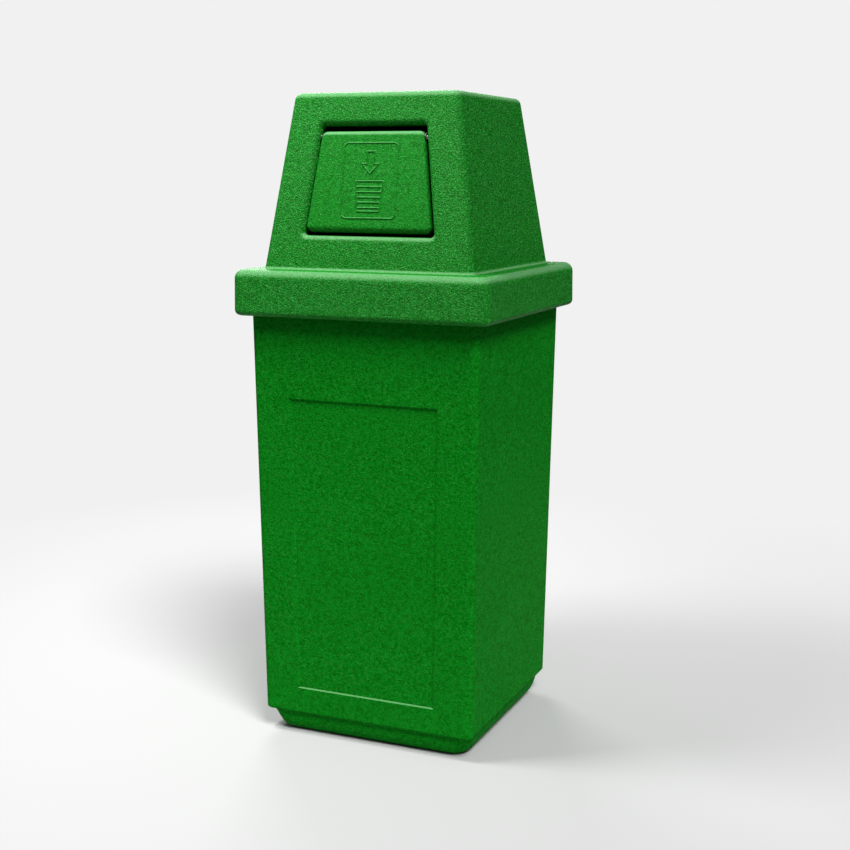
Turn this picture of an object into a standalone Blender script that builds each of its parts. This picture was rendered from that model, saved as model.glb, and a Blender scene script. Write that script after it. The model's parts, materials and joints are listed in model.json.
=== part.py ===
"""Square litter bin: a moulded body, a lift-off hood with a push flap, a rear cam lock and a steel liner.

Metres, +Z up. The origin is on the ground under the middle of the bin, and the flap faces -Y.
"""

import math

import bmesh
import bpy
from mathutils import Matrix, Vector

# Overall sizes
HEIGHT = 1.100
COLLAR_WIDTH = 0.460
WALL = 0.006
GAP = 0.0005
FIT = 0.0003

# Levels, from the ground up
FLOOR_Z = 0.010
UNDERSIDE_Z = 0.003
STEP_Z = 0.039
SKIRT_Z = 0.735
LIP_TOP_Z = 0.750
LEDGE_Z = 0.812
LEDGE_UNDER_Z = LEDGE_Z - WALL
RIM_TOP_Z = LEDGE_UNDER_Z - GAP
RIM_FOOT_Z = RIM_TOP_Z - 0.018
CEILING_Z = HEIGHT - WALL

# Half widths of the square sections
COLLAR_HALF = COLLAR_WIDTH / 2
COLLAR_TOP_HALF = COLLAR_HALF - 0.0011
LIP_HALF = COLLAR_HALF - 0.0105
RIM_HALF = LIP_HALF - 0.0017
BODY_FOOT_HALF = 0.1945
BODY_TOP_HALF = 0.2048
PLINTH_HALF = 0.1865
FOOT_RING = 0.048
HOOD_FOOT_HALF = 0.1887
HOOD_TOP_HALF = 0.1478

# Radii of the upright corners in plan, then of the level edges
BODY_CORNER = 0.0125
COLLAR_CORNER = 0.0235
HOOD_CORNER = 0.0127
PLINTH_CORNER = 0.038
PLINTH_EDGE = 0.026
BODY_FOOT_EDGE = 0.005
COLLAR_TOP_EDGE = 0.016
COLLAR_FOOT_EDGE = 0.009
HOOD_FOOT_EDGE = 0.005
ROOF_EDGE = 0.012

# Recessed panels in the front and back of the body, and drain holes in its floor
PANEL_FOOT_Z = 0.0855
PANEL_TOP_Z = 0.5975
PANEL_FOOT_HALF = 0.1290
PANEL_TOP_HALF = 0.1370
PANEL_DEPTH = 0.003
DRAIN_REACH = 0.110
DRAIN_RADIUS = 0.005

# Push flap: distances up the hood's face and square to it, from the hinge rod
PIVOT_Z = 1.0268
ROD_BEHIND_FACE = 0.010
ROD_RADIUS = 0.004
FLAP_RISE = 0.0097
FLAP_DROP = 0.1547
FLAP_BACK_DROP = 0.1470
FLAP_TOP_HALF = 0.0900
FLAP_FOOT_HALF = 0.1120
FLAP_TOP_BACK = 0.012
FLAP_FOOT_BACK = 0.050
FLAP_WALL = 0.004
FLAP_EDGE = 0.005
FLAP_CORNER = 0.008
FRAME_HALF = 0.050
FRAME_RISE = -0.0093
FRAME_DROP = 0.1330
FRAME_CORNER = 0.010
FRAME_LINE = 0.003
FRAME_PROUD = 0.0008

# Mouth in the hood, around the flap
MOUTH_SIDE_GAP = 0.004
MOUTH_TOP_GAP = 0.0096
MOUTH_FOOT_GAP = 0.0056
MOUTH_ROUND = 0.010
MOUTH_CORNER = 0.010
RETURN_DEPTH = 0.030

# Bushes in the flap's sides, and caps on the rod's ends
BUSH_BORE = ROD_RADIUS + GAP
BUSH_RADIUS = 0.0062
BUSH_FLANGE_RADIUS = 0.0078
BUSH_INNER_X = 0.082
BUSH_FLANGE_X = 0.0926
BUSH_OUTER_X = 0.0938
CAP_X = 0.1028
CAP_END_X = 0.1115
CAP_RADIUS = 0.0058
CAP_FLANGE_RADIUS = 0.0065
CAP_FLANGE = 0.0015
ROD_END_X = 0.1085
CHAMFER = 0.001

# Cam lock in the back of the collar
LOCK_Z = 0.775
LOCK_RADIUS = 0.009
LOCK_HEAD_RADIUS = 0.012
LOCK_HEAD = 0.003
LOCK_END_Y = 0.2153
GASKET = 0.0015
PLUG_RADIUS = 0.0065
PLUG_HEAD_RADIUS = 0.0082
PLUG_TAIL_RADIUS = 0.004
KEY_SLOT = (0.0012, 0.007, 0.003)
SCREW_RADIUS = 0.002
SCREW_HEAD_RADIUS = 0.0055
SCREW_LENGTH = 0.009
NUT_APOTHEM = 0.012
NUT_THICKNESS = 0.0035
CAM_LENGTH = 0.034
CAM_HALF_WIDTH = 0.008
CAM_THICKNESS = 0.003
RIM_NOTCH_HALF = 0.014

# Steel liner that stands on the body's floor
LINER_WALL = 0.0012
LINER_FLOOR_Z = FLOOR_Z + GAP
LINER_TOP_Z = 0.774
LINER_BEAD_Z = 0.766
LINER_FOOT_HALF = 0.166
LINER_TOP_HALF = 0.186
LINER_BEAD_HALF = 0.190
LINER_CORNER = 0.020

# Wire handles inside the liner, with their clips and rivets
HANDLE_Z = 0.746
HANDLE_OFF_WALL = 0.008
HANDLE_WIRE = 0.003
HANDLE_HALF = 0.048
HANDLE_DROP = 0.050
HANDLE_END = 0.062
HANDLE_SHOULDER = 0.004
HANDLE_BEND = 0.012
CLIP_EAR_Y = 0.053
CLIP_THICKNESS = 0.002
CLIP_LENGTH = 0.022
CLIP_HALF_HEIGHT = 0.010
CLIP_REACH = 0.013
RIVET_Y = CLIP_EAR_Y + 0.015
RIVET_SPACING = 0.010
RIVET_RADIUS = 0.0016
RIVET_HEAD_RADIUS = 0.0032
RIVET_HEAD = 0.0012

FACE_TILT = math.atan2(HOOD_FOOT_HALF - HOOD_TOP_HALF, HEIGHT - LEDGE_Z)
LINER_TILT = math.atan2(LINER_TOP_HALF - LINER_FOOT_HALF, LINER_TOP_Z - LINER_FLOOR_Z)
UPRIGHT = Matrix.Identity(4)
HALF_TURN = Matrix.Rotation(math.pi, 4, "Z")

# Colour, metallic, roughness
FINISHES = {
    "green_polyethylene": ((0.012, 0.155, 0.020), 0.0, 0.45),
    "stainless_steel": ((0.60, 0.60, 0.58), 1.0, 0.30),
    "zinc_steel": ((0.48, 0.50, 0.51), 1.0, 0.45),
    "black_nylon": ((0.02, 0.02, 0.02), 0.0, 0.50),
    "black_rubber": ((0.012, 0.012, 0.012), 0.0, 0.80),
}


# Materials, meshes and modifiers


def finish(name):
    """The named Principled material, made the first time it is asked for."""
    material = bpy.data.materials.get(name)
    if material is None:
        colour, metallic, roughness = FINISHES[name]
        material = bpy.data.materials.new(name)
        material.use_nodes = True
        shader = material.node_tree.nodes["Principled BSDF"]
        shader.inputs["Base Color"].default_value = (*colour, 1.0)
        shader.inputs["Metallic"].default_value = metallic
        shader.inputs["Roughness"].default_value = roughness
    return material


def clear_scene():
    for obj in list(bpy.data.objects):
        bpy.data.objects.remove(obj, do_unlink=True)


def add_object(name, mesh, material=None, place=UPRIGHT, parent=None):
    """Links an object for the mesh. A parent's own place is added to the given one."""
    obj = bpy.data.objects.new(name, mesh)
    bpy.context.scene.collection.objects.link(obj)
    obj.matrix_local = place
    obj.parent = parent
    if material:
        mesh.materials.append(finish(material))
    return obj


def add_empty(name, place):
    empty = bpy.data.objects.new(name, None)
    bpy.context.scene.collection.objects.link(empty)
    empty.matrix_world = place
    return empty


def combine(target, other, operation):
    """Adds a Boolean of the other object, which is then only a helper."""
    other.hide_render = True
    other.display_type = "WIRE"
    modifier = target.modifiers.new(f"{operation.lower()} {other.name}", "BOOLEAN")
    modifier.operation = operation
    modifier.solver = "EXACT"
    modifier.object = other


def mesh_from(name, bm):
    """The finished mesh, with every face of each solid turned outwards."""
    bmesh.ops.recalc_face_normals(bm, faces=bm.faces)
    mesh = bpy.data.meshes.new(name)
    bm.to_mesh(mesh)
    bm.free()
    mesh.shade_smooth()
    mesh.set_sharp_from_angle(angle=math.radians(32))
    return mesh


def loft_mesh(name, rings, closed=False):
    """A skin over rings of equal length: capped at both ends, or joined end to end when closed."""
    bm = bmesh.new()
    loops = [[bm.verts.new(point) for point in ring] for ring in rings]
    pairs = list(zip(loops, loops[1:]))
    if closed:
        pairs.append((loops[-1], loops[0]))
    else:
        bm.faces.new(loops[0])
        bm.faces.new(loops[-1])
    for lower, upper in pairs:
        for i in range(len(lower)):
            j = (i + 1) % len(lower)
            bm.faces.new((lower[i], lower[j], upper[j], upper[i]))
    return mesh_from(name, bm)


# Outlines, profiles and rings


def round_corners(points, closed=False, steps=3):
    """Turns (x, y, radius) corners into a polyline, with an arc at each corner whose radius isn't 0."""
    path = []
    count = len(points)
    for i, (x, y, radius) in enumerate(points):
        corner = Vector((x, y))
        if radius == 0 or (not closed and i in (0, count - 1)):
            path.append(corner)
            continue
        back = (Vector(points[i - 1][:2]) - corner).normalized()
        ahead = (Vector(points[(i + 1) % count][:2]) - corner).normalized()
        half_angle = back.angle(ahead) / 2
        centre = corner + (back + ahead).normalized() * (radius / math.sin(half_angle))
        start = corner + back * (radius / math.tan(half_angle)) - centre
        end = corner + ahead * (radius / math.tan(half_angle)) - centre
        turn = math.atan2(start.x * end.y - start.y * end.x, start.dot(end))
        for step in range(steps + 1):
            angle = turn * step / steps
            spoke = (
                start.x * math.cos(angle) - start.y * math.sin(angle),
                start.x * math.sin(angle) + start.y * math.cos(angle),
            )
            path.append(centre + Vector(spoke))
    return path


def square_ring(half, z, centre, steps=4):
    """A rounded square at height z, whose corner arcs are centred at +-centre in X and Y."""
    radius = max(half - centre, GAP)
    reach = half - radius
    ring = []
    for corner, (x, y) in enumerate(((reach, reach), (-reach, reach), (-reach, -reach), (reach, -reach))):
        for step in range(steps + 1):
            angle = math.radians(90 * corner + 90 * step / steps)
            ring.append((x + radius * math.cos(angle), y + radius * math.sin(angle), z))
    return ring


def square_rings(path, centre):
    """Rings along a (half width, z) path. centre is a function of z."""
    return [square_ring(point.x, point.y, centre(point.y)) for point in path]


def round_ring(radius, z, steps):
    angles = [math.tau * i / steps for i in range(steps)]
    return [(radius * math.cos(angle), radius * math.sin(angle), z) for angle in angles]


def turned(name, profile, material=None, place=UPRIGHT, closed=False, steps=20, parent=None):
    """A part turned about its local Z from (radius, z) points. A closed profile leaves a bore."""
    rings = [round_ring(radius, z, steps) for radius, z in profile]
    return add_object(name, loft_mesh(name, rings, closed), material, place, parent)


def drill(target, name, radius, start, end, place=UPRIGHT, steps=12, parent=None):
    """Cuts a round hole along the place's Z."""
    cutter = turned(name, [(radius, start), (radius, end)], place=place, steps=steps, parent=parent)
    combine(target, cutter, "DIFFERENCE")


def box(name, low, high, parent=None):
    """An upright box between two corners."""
    outline = [(low[0], low[1]), (high[0], low[1]), (high[0], high[1]), (low[0], high[1])]
    rings = [[(x, y, z) for x, y in outline] for z in (low[2], high[2])]
    return add_object(name, loft_mesh(name, rings), parent=parent)


def body_half(z):
    """Half width of the body's outer face at height z."""
    return BODY_FOOT_HALF + (BODY_TOP_HALF - BODY_FOOT_HALF) * (z - STEP_Z) / (SKIRT_Z - STEP_Z)


def hood_half(z):
    """Half width of the hood's outer face at height z."""
    return HOOD_FOOT_HALF + (HOOD_TOP_HALF - HOOD_FOOT_HALF) * (z - LEDGE_Z) / (HEIGHT - LEDGE_Z)


def liner_half(z):
    """Half width of the liner's outer face at height z."""
    return LINER_FOOT_HALF + (z - LINER_FLOOR_Z) * math.tan(LINER_TILT)


# Body


def body_shell():
    """Open tub on a rounded plinth, with an outward rim that sits under the hood's ledge."""
    plinth = round_corners([
        (PLINTH_HALF - FOOT_RING - UNDERSIDE_Z, UNDERSIDE_Z, 0),
        (PLINTH_HALF - FOOT_RING, 0, 0),
        (PLINTH_HALF, 0, PLINTH_EDGE),
        (PLINTH_HALF, STEP_Z, 0),
    ])
    wall = round_corners([
        (BODY_FOOT_HALF - BODY_FOOT_EDGE, STEP_Z, 0),
        (body_half(STEP_Z + BODY_FOOT_EDGE), STEP_Z + BODY_FOOT_EDGE, 0),
        (body_half(RIM_FOOT_Z), RIM_FOOT_Z, 0),
        (RIM_HALF, RIM_FOOT_Z, 0),
        (RIM_HALF, RIM_TOP_Z, 0.003),
        (body_half(RIM_TOP_Z) - WALL, RIM_TOP_Z, 0),
        (body_half(STEP_Z + WALL) - WALL, STEP_Z + WALL, 0),
    ])
    floor = round_corners([
        (PLINTH_HALF - WALL, STEP_Z, 0),
        (PLINTH_HALF - WALL, FLOOR_Z, PLINTH_EDGE - WALL),
        (PLINTH_HALF - PLINTH_EDGE - WALL, FLOOR_Z, 0),
    ])
    rings = square_rings(plinth, lambda z: PLINTH_HALF - PLINTH_CORNER)
    rings += square_rings(wall, lambda z: body_half(z) - BODY_CORNER)
    rings += square_rings(floor, lambda z: PLINTH_HALF - PLINTH_CORNER)
    shell = add_object("body_shell", loft_mesh("body_shell", rings), "green_polyethylene")

    for side, place in (("front", UPRIGHT), ("back", HALF_TURN)):
        combine(shell, panel_cutter(f"{side}_panel_cutter", place), "DIFFERENCE")
    notch_low = (-RIM_NOTCH_HALF, body_half(RIM_TOP_Z) + GAP, RIM_FOOT_Z - WALL)
    notch_high = (RIM_NOTCH_HALF, COLLAR_HALF, RIM_TOP_Z + WALL)
    combine(shell, box("rim_notch_cutter", notch_low, notch_high), "DIFFERENCE")
    for x in (-DRAIN_REACH, DRAIN_REACH):
        for y in (-DRAIN_REACH, DRAIN_REACH):
            drill(shell, "drain_cutter", DRAIN_RADIUS, -FLOOR_Z, 2 * FLOOR_Z, Matrix.Translation((x, y, 0)))


def panel_cutter(name, place):
    """A shallow block with sloping sides that follows the body's sloping face."""
    rings = []
    for depth in (-PANEL_DEPTH, PANEL_DEPTH):
        foot = (PANEL_FOOT_HALF - depth / 2, PANEL_FOOT_Z + depth / 2)
        top = (PANEL_TOP_HALF - depth / 2, PANEL_TOP_Z - depth / 2)
        corners = [(-foot[0], foot[1]), foot, top, (-top[0], top[1])]
        rings.append([(x, depth - body_half(z), z) for x, z in corners])
    return add_object(name, loft_mesh(name, rings), place=place)


# Hood


def face_place():
    """Frame on the hinge rod: Z runs up the hood's front face, and Y goes square into the bin."""
    pivot_y = ROD_BEHIND_FACE / math.cos(FACE_TILT) - hood_half(PIVOT_Z)
    return Matrix.Translation((0, pivot_y, PIVOT_Z)) @ Matrix.Rotation(-FACE_TILT, 4, "X")


def across(place):
    """The same frame with its Z turned to where its X was."""
    return place @ Matrix.Rotation(math.radians(90), 4, "Y")


def flap_half(z):
    """Half width of the flap at a height above its hinge rod."""
    share = (FLAP_RISE - z) / (FLAP_RISE + FLAP_DROP)
    return FLAP_TOP_HALF + (FLAP_FOOT_HALF - FLAP_TOP_HALF) * share


def flap_outline(side, high, low, corner):
    """(x, z) outline between two heights, wider than the flap by side."""
    corners = [
        (-flap_half(low) - side, low, corner),
        (flap_half(low) + side, low, corner),
        (flap_half(high) + side, high, corner),
        (-flap_half(high) - side, high, corner),
    ]
    return round_corners(corners, closed=True)


def mouth_ring(grow, depth):
    """The mouth's outline, grown all round, at a depth behind the hood's face."""
    high = FLAP_RISE + MOUTH_TOP_GAP + grow
    low = -FLAP_DROP - MOUTH_FOOT_GAP - grow
    outline = flap_outline(MOUTH_SIDE_GAP + grow, high, low, MOUTH_CORNER + grow)
    return [(point.x, depth - ROD_BEHIND_FACE, point.y) for point in outline]


def hood_shell():
    """Collar that drops over the body's rim, and a tapering hood with the flap's mouth in its front."""
    ceiling_half = hood_half(CEILING_Z) - WALL
    lining = round_corners([
        (ceiling_half - ROOF_EDGE + WALL, CEILING_Z, 0),
        (ceiling_half, CEILING_Z, ROOF_EDGE - WALL),
        (hood_half(LEDGE_UNDER_Z) - WALL, LEDGE_UNDER_Z, 0),
    ])
    collar = round_corners([
        (COLLAR_TOP_HALF - COLLAR_TOP_EDGE, LEDGE_UNDER_Z, 0),
        (COLLAR_TOP_HALF - WALL, LEDGE_UNDER_Z, COLLAR_TOP_EDGE - WALL - 0.003),
        (COLLAR_HALF - WALL, LIP_TOP_Z, 0),
        (LIP_HALF, LIP_TOP_Z - COLLAR_FOOT_EDGE / 2, 0),
        (LIP_HALF, SKIRT_Z, 0),
        (COLLAR_HALF, SKIRT_Z, COLLAR_FOOT_EDGE),
        (COLLAR_TOP_HALF, LEDGE_Z, COLLAR_TOP_EDGE),
        (COLLAR_TOP_HALF - COLLAR_TOP_EDGE - 0.001, LEDGE_Z, 0),
    ])
    hood = round_corners([
        (HOOD_FOOT_HALF + 2 * HOOD_FOOT_EDGE, LEDGE_Z, 0),
        (HOOD_FOOT_HALF, LEDGE_Z, HOOD_FOOT_EDGE),
        (HOOD_TOP_HALF, HEIGHT, ROOF_EDGE),
        (HOOD_TOP_HALF - ROOF_EDGE, HEIGHT, 0),
    ])
    rings = square_rings(lining, lambda z: hood_half(z) - HOOD_CORNER)
    rings += square_rings(collar, lambda z: COLLAR_HALF - COLLAR_CORNER)
    rings += square_rings(hood, lambda z: hood_half(z) - HOOD_CORNER)
    shell = add_object("hood_shell", loft_mesh("hood_shell", rings), "green_polyethylene")

    face = face_place()
    surround = loft_mesh("mouth_surround", [mouth_ring(WALL, WALL / 2), mouth_ring(WALL, RETURN_DEPTH)])
    combine(shell, add_object("mouth_surround", surround, place=face), "UNION")
    rings = [mouth_ring(MOUTH_ROUND, -0.004)]
    for angle in (0, 30, 60, 90):
        turn = math.radians(angle)
        rings.append(mouth_ring(MOUTH_ROUND * (1 - math.sin(turn)), MOUTH_ROUND * (1 - math.cos(turn))))
    rings.append(mouth_ring(0, RETURN_DEPTH + 0.004))
    mouth = add_object("mouth_cutter", loft_mesh("mouth_cutter", rings), place=face)
    combine(shell, mouth, "DIFFERENCE")

    drill(shell, "rod_bore_cutter", ROD_RADIUS + FIT, -CAP_X, CAP_X, across(face), steps=16)
    for side, turn in (("right", UPRIGHT), ("left", HALF_TURN)):
        pocket = across(face @ turn)
        radius = CAP_FLANGE_RADIUS + FIT
        drill(shell, f"{side}_cap_cutter", radius, CAP_X - FIT, CAP_END_X + FIT, pocket, steps=16)
    inside_y = COLLAR_HALF - 3 * WALL
    drill(shell, "lock_bore_cutter", LOCK_RADIUS + FIT, inside_y, COLLAR_HALF + WALL, lock_place(), steps=20)


def flap_hinge():
    """Rod across the mouth, with a push-on cap behind each side return."""
    axis = across(face_place())
    rod = [
        (ROD_RADIUS - CHAMFER, -ROD_END_X),
        (ROD_RADIUS, CHAMFER - ROD_END_X),
        (ROD_RADIUS, ROD_END_X - CHAMFER),
        (ROD_RADIUS - CHAMFER, ROD_END_X),
    ]
    turned("flap_hinge_rod", rod, "stainless_steel", axis, steps=16)
    cap = [
        (ROD_RADIUS + FIT, ROD_END_X + FIT),
        (ROD_RADIUS + FIT, CAP_X),
        (CAP_FLANGE_RADIUS, CAP_X),
        (CAP_FLANGE_RADIUS, CAP_X + CAP_FLANGE),
        (CAP_RADIUS, CAP_X + CAP_FLANGE),
        (CAP_RADIUS, CAP_END_X - CHAMFER),
        (CAP_RADIUS - CHAMFER, CAP_END_X),
    ]
    turned("rod_cap_right", cap, "black_nylon", axis, steps=16)
    turned("rod_cap_left", cap, "black_nylon", axis @ Matrix.Rotation(math.pi, 4, "Y"), steps=16)


# Flap


def flap_ring(inset, behind, drop, back_share):
    """The flap's outline, inset all round. back_share moves it from the face's plane to the back's."""
    corner = max(FLAP_CORNER - inset, CHAMFER)
    outline = flap_outline(-inset, FLAP_RISE - inset, inset - drop, corner)
    ring = []
    for point in outline:
        share = (FLAP_RISE - point.y) / (FLAP_RISE + drop)
        back = FLAP_TOP_BACK + (FLAP_FOOT_BACK - FLAP_TOP_BACK) * share
        y = (back + ROD_BEHIND_FACE) * back_share - ROD_BEHIND_FACE + behind
        ring.append((point.x, y, point.y))
    return ring


def flap_rings(inset):
    """Front to back rings of a wedge with rounded edges, inset all round."""
    edge = max(FLAP_EDGE - inset, GAP)
    rings = []
    for angle in (0, 30, 60, 90):
        turn = math.radians(angle)
        step_in = edge * (1 - math.sin(turn))
        rings.append(flap_ring(inset + step_in, inset + edge * (1 - math.cos(turn)), FLAP_DROP, 0))
    for angle in (90, 45, 0):
        turn = math.radians(angle)
        step_in = edge * (1 - math.sin(turn))
        rings.append(flap_ring(inset + step_in, edge * (math.cos(turn) - 1) - inset, FLAP_BACK_DROP, 1))
    return rings


def frame_line_mesh():
    """Thin raised line in the shape of a rounded rectangle, sunk 1 mm into the flap's face."""
    rings = []
    for inset, y in ((0, 0.001), (0, -FRAME_PROUD), (FRAME_LINE, -FRAME_PROUD), (FRAME_LINE, 0.001)):
        half = FRAME_HALF - inset
        low = inset - FRAME_DROP
        high = FRAME_RISE - inset
        corners = [(-half, low), (half, low), (half, high), (-half, high)]
        outline = round_corners([(x, z, FRAME_CORNER - inset) for x, z in corners], closed=True)
        rings.append([(point.x, y - ROD_BEHIND_FACE, point.y) for point in outline])
    return loft_mesh("frame_line", rings, closed=True)


def front_flap(pivot):
    """Hollow wedge that hangs level with the hood's face, turning on two flanged bushes."""
    flap = add_object("front_flap", loft_mesh("front_flap", flap_rings(0)), "green_polyethylene", parent=pivot)
    hollow = add_object("flap_hollow_cutter", loft_mesh("flap_hollow", flap_rings(FLAP_WALL)), parent=pivot)
    combine(flap, hollow, "DIFFERENCE")
    combine(flap, add_object("frame_line", frame_line_mesh(), parent=pivot), "UNION")
    bush = [
        (BUSH_BORE, BUSH_INNER_X),
        (BUSH_RADIUS, BUSH_INNER_X),
        (BUSH_RADIUS, BUSH_FLANGE_X),
        (BUSH_FLANGE_RADIUS, BUSH_FLANGE_X),
        (BUSH_FLANGE_RADIUS, BUSH_OUTER_X),
        (BUSH_BORE, BUSH_OUTER_X),
    ]
    bore = BUSH_RADIUS + FIT
    for side, place in (("right", across(UPRIGHT)), ("left", across(HALF_TURN))):
        drill(flap, f"{side}_bush_cutter", bore, BUSH_INNER_X - GAP, BUSH_OUTER_X, place, 16, pivot)
        turned(f"flap_bush_{side}", bush, "black_nylon", place, closed=True, steps=16, parent=pivot)


# Lock


def lock_place():
    """Frame of the lock: Z points out of the bin's back, and Y points down."""
    return Matrix.Translation((0, 0, LOCK_Z)) @ Matrix.Rotation(math.radians(-90), 4, "X")


def hexagon_ring(apothem, z, steps):
    ring = []
    for i in range(steps):
        angle = math.tau * i / steps
        off_flat = (angle + math.radians(30)) % math.radians(60) - math.radians(30)
        radius = apothem / math.cos(off_flat)
        ring.append((radius * math.cos(angle), radius * math.sin(angle), z))
    return ring


def washer(name, material, bore, radius, start, end):
    profile = [(bore, start), (radius, start), (radius, end), (bore, end)]
    return turned(name, profile, material, lock_place(), closed=True)


def lock_case(head_y, face_y, sink_y):
    """Barrel, gasket and nut, which stay still in the collar's wall."""
    bore = PLUG_RADIUS + FIT
    counterbore = PLUG_HEAD_RADIUS + FIT
    barrel = [
        (bore, LOCK_END_Y),
        (LOCK_RADIUS, LOCK_END_Y),
        (LOCK_RADIUS, head_y),
        (LOCK_HEAD_RADIUS, head_y),
        (LOCK_HEAD_RADIUS, face_y - CHAMFER),
        (LOCK_HEAD_RADIUS - CHAMFER, face_y),
        (counterbore, face_y),
        (counterbore, sink_y),
        (bore, sink_y),
    ]
    turned("lock_barrel", barrel, "stainless_steel", lock_place(), closed=True)
    around = LOCK_RADIUS + FIT
    washer("lock_gasket", "black_rubber", around, LOCK_HEAD_RADIUS, COLLAR_HALF, COLLAR_HALF + GASKET)

    nut_y = COLLAR_HALF - 1.2 * WALL
    nut_end_y = nut_y - NUT_THICKNESS
    nut = [
        round_ring(around, nut_end_y, 24),
        hexagon_ring(NUT_APOTHEM, nut_end_y, 24),
        hexagon_ring(NUT_APOTHEM, nut_y, 24),
        round_ring(around, nut_y, 24),
    ]
    add_object("lock_nut", loft_mesh("lock_nut", nut, closed=True), "zinc_steel", lock_place())


def lock_turning_parts(face_y, sink_y):
    """Key plug with the cam that catches under the body's rim, and the screw that holds the cam."""
    axis = add_empty("lock_axis", lock_place())
    cam_y = LOCK_END_Y - GAP
    cam_end_y = cam_y - CAM_THICKNESS
    bore = SCREW_RADIUS + FIT
    plug = [
        (bore, cam_y + SCREW_LENGTH + CHAMFER),
        (bore, cam_end_y + FIT),
        (PLUG_TAIL_RADIUS, cam_end_y + FIT),
        (PLUG_TAIL_RADIUS, cam_y + FIT),
        (PLUG_RADIUS, cam_y + FIT),
        (PLUG_RADIUS, sink_y + FIT),
        (PLUG_HEAD_RADIUS, sink_y + FIT),
        (PLUG_HEAD_RADIUS, face_y - FIT),
    ]
    key_plug = turned("lock_plug", plug, "stainless_steel", parent=axis)
    width, height, depth = KEY_SLOT
    slot_low = (-width / 2, -height / 2, face_y - depth)
    slot_high = (width / 2, height / 2, face_y + depth)
    combine(key_plug, box("key_slot_cutter", slot_low, slot_high, axis), "DIFFERENCE")

    outline = round_corners([
        (-CAM_HALF_WIDTH, CAM_LENGTH, CAM_HALF_WIDTH / 2),
        (-CAM_HALF_WIDTH, -CAM_HALF_WIDTH, 0.7 * CAM_HALF_WIDTH),
        (CAM_HALF_WIDTH, -CAM_HALF_WIDTH, 0.7 * CAM_HALF_WIDTH),
        (CAM_HALF_WIDTH, CAM_LENGTH, CAM_HALF_WIDTH / 2),
    ], closed=True)
    rings = [[(point.x, point.y, z) for point in outline] for z in (cam_end_y, cam_y)]
    cam = add_object("lock_cam", loft_mesh("lock_cam", rings), "zinc_steel", parent=axis)
    drill(cam, "cam_hole_cutter", PLUG_TAIL_RADIUS + FIT, cam_end_y - GAP, cam_y + GAP, steps=16, parent=axis)

    under_head = cam_end_y - FIT
    screw = [
        (SCREW_HEAD_RADIUS - CHAMFER, under_head - 0.0025),
        (SCREW_HEAD_RADIUS, under_head - 0.0015),
        (SCREW_HEAD_RADIUS, under_head),
        (SCREW_RADIUS, under_head),
        (SCREW_RADIUS, cam_y + SCREW_LENGTH),
    ]
    turned("lock_cam_screw", screw, "zinc_steel", steps=16, parent=axis)


# Liner


def liner():
    """Tapered steel bin with a rolled rim, drilled for the handle rivets."""
    inner_foot = LINER_FLOOR_Z + LINER_WALL
    path = round_corners([
        (LINER_FOOT_HALF - 0.006, LINER_FLOOR_Z, 0),
        (LINER_FOOT_HALF, LINER_FLOOR_Z, 0.004),
        (liner_half(LINER_BEAD_Z), LINER_BEAD_Z, 0),
        (LINER_BEAD_HALF, LINER_BEAD_Z, 0.003),
        (LINER_BEAD_HALF, LINER_TOP_Z, 0.003),
        (LINER_TOP_HALF - LINER_WALL, LINER_TOP_Z, 0.001),
        (liner_half(inner_foot) - LINER_WALL, inner_foot, 0.003),
        (LINER_FOOT_HALF - 0.006, inner_foot, 0),
    ])
    rings = square_rings(path, lambda z: liner_half(z) - LINER_CORNER)
    shell = add_object("liner", loft_mesh("liner", rings), "zinc_steel")
    for turn in (UPRIGHT, HALF_TURN):
        for _, way in clip_ends(turn):
            for _, spot in rivet_places(way):
                drill(shell, "rivet_cutter", RIVET_RADIUS + FIT, -0.004, 0.004, wall_place(turn) @ spot)


def wall_place(turn):
    """Frame on the liner's inner face at the handles: X points into the liner, Z up the wall."""
    inner = liner_half(HANDLE_Z) - LINER_WALL / math.cos(LINER_TILT)
    return turn @ Matrix.Translation((-inner, 0, HANDLE_Z)) @ Matrix.Rotation(-LINER_TILT, 4, "Y")


def clip_ends(turn):
    """Name of each end of a handle, and whether it lies towards -Y or +Y in the wall's own frame."""
    front = -1 if turn == UPRIGHT else 1
    return (("front", front), ("rear", -front))


def rivet_places(way):
    """Places of one clip's rivets on the liner's wall, each with Z along the rivet into the liner."""
    reach = RIVET_SPACING / 2
    levels = (("lower", -reach), ("upper", reach))
    return [(level, across(Matrix.Translation((0, way * RIVET_Y, z)))) for level, z in levels]


def handle_clip(name, turn, way):
    """Folded clip: a foot riveted to the wall, and an ear that the handle's end turns in."""
    foot = FIT + CLIP_THICKNESS
    ear = CLIP_EAR_Y + CLIP_THICKNESS
    outline = [
        (FIT, CLIP_EAR_Y),
        (FIT, CLIP_EAR_Y + CLIP_LENGTH),
        (foot, CLIP_EAR_Y + CLIP_LENGTH),
        (foot, ear),
        (CLIP_REACH, ear),
        (CLIP_REACH, CLIP_EAR_Y),
    ]
    rings = [[(x, way * y, z) for x, y in outline] for z in (-CLIP_HALF_HEIGHT, CLIP_HALF_HEIGHT)]
    place = wall_place(turn)
    clip = add_object(name, loft_mesh("handle_clip", rings), "zinc_steel", place)
    pin = place @ Matrix.Translation((HANDLE_OFF_WALL, 0, 0)) @ Matrix.Rotation(math.radians(-90), 4, "X")
    drill(clip, f"{name}_pin_cutter", HANDLE_WIRE + GAP, -CLIP_EAR_Y - 0.01, CLIP_EAR_Y + 0.01, pin)
    for _, spot in rivet_places(way):
        drill(clip, f"{name}_rivet_cutter", RIVET_RADIUS + FIT, -0.001, 0.004, place @ spot)


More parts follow.
